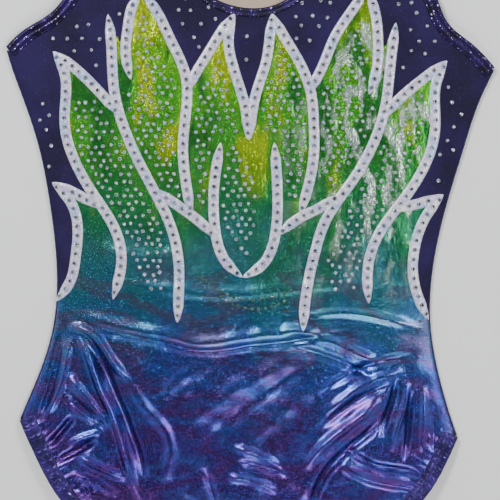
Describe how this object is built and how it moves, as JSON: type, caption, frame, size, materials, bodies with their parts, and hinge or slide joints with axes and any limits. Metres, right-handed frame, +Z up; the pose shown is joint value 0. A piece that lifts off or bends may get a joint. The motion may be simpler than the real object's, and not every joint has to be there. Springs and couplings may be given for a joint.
{
  "type": "gymnastics leotard",
  "caption": "Sleeveless gymnastics leotard lying flat, shimmering foil petals edged with pearl strips and rhinestones on a dark yoke, bound neck and arm openings",
  "frame": {"origin": "centre of the whole garment in plan, on the surface that it lies on", "axes": "+X across the garment, +Y towards the neck, +Z up out of the front"},
  "size_m": [0.3177, 0.5276, 0.0152],
  "materials": {
    "yoke_spandex": "matte stretch knit",
    "foil_spandex": "holographic foil print, shaded green to violet",
    "lining": "matte tricot",
    "binding": "ribbed metallic",
    "elastic": "matte",
    "seam_thread": "overlocked thread",
    "pearl_strip": "pearl foil",
    "rhinestone": "cut crystal, mirrored back",
    "label_satin": "satin"
  },
  "bodies": {
    "root": {"armhole_binding_left": "binding", "armhole_binding_right": "binding", "armhole_elastic_left": "elastic", "armhole_elastic_right": "elastic", "back_foil_panel": "foil_spandex", "back_lining": "lining", "back_yoke": "yoke_spandex", "crotch_seam": "seam_thread", "front_foil_panel": "foil_spandex", "front_lining": "lining", "front_yoke": "yoke_spandex", "gusset_lining": "lining", "leg_band_left": "foil_spandex", "leg_band_right": "foil_spandex", "leg_elastic_left": "elastic", "leg_elastic_right": "elastic", "neck_binding": "binding", "neck_elastic": "elastic", "shoulder_seam_left": "seam_thread", "shoulder_seam_right": "seam_thread", "side_seam_left": "seam_thread", "side_seam_right": "seam_thread", "size_label": "label_satin", "stones_petal_left": "rhinestone", "stones_petal_right": "rhinestone", "stones_trim_left": "rhinestone", "stones_trim_right": "rhinestone", "stones_waist": "rhinestone", "stones_yoke_left": "rhinestone", "stones_yoke_right": "rhinestone", "trim_branch_left": "pearl_strip", "trim_branch_right": "pearl_strip", "trim_centre_left": "pearl_strip", "trim_centre_right": "pearl_strip", "trim_inner_left": "pearl_strip", "trim_inner_right": "pearl_strip", "trim_low_left": "pearl_strip", "trim_low_right": "pearl_strip", "trim_outer_left": "pearl_strip", "trim_outer_right": "pearl_strip", "trim_spike_left": "pearl_strip", "trim_spike_right": "pearl_strip", "trim_tall_left": "pearl_strip", "trim_tall_right": "pearl_strip"}
  },
  "joints": []
}
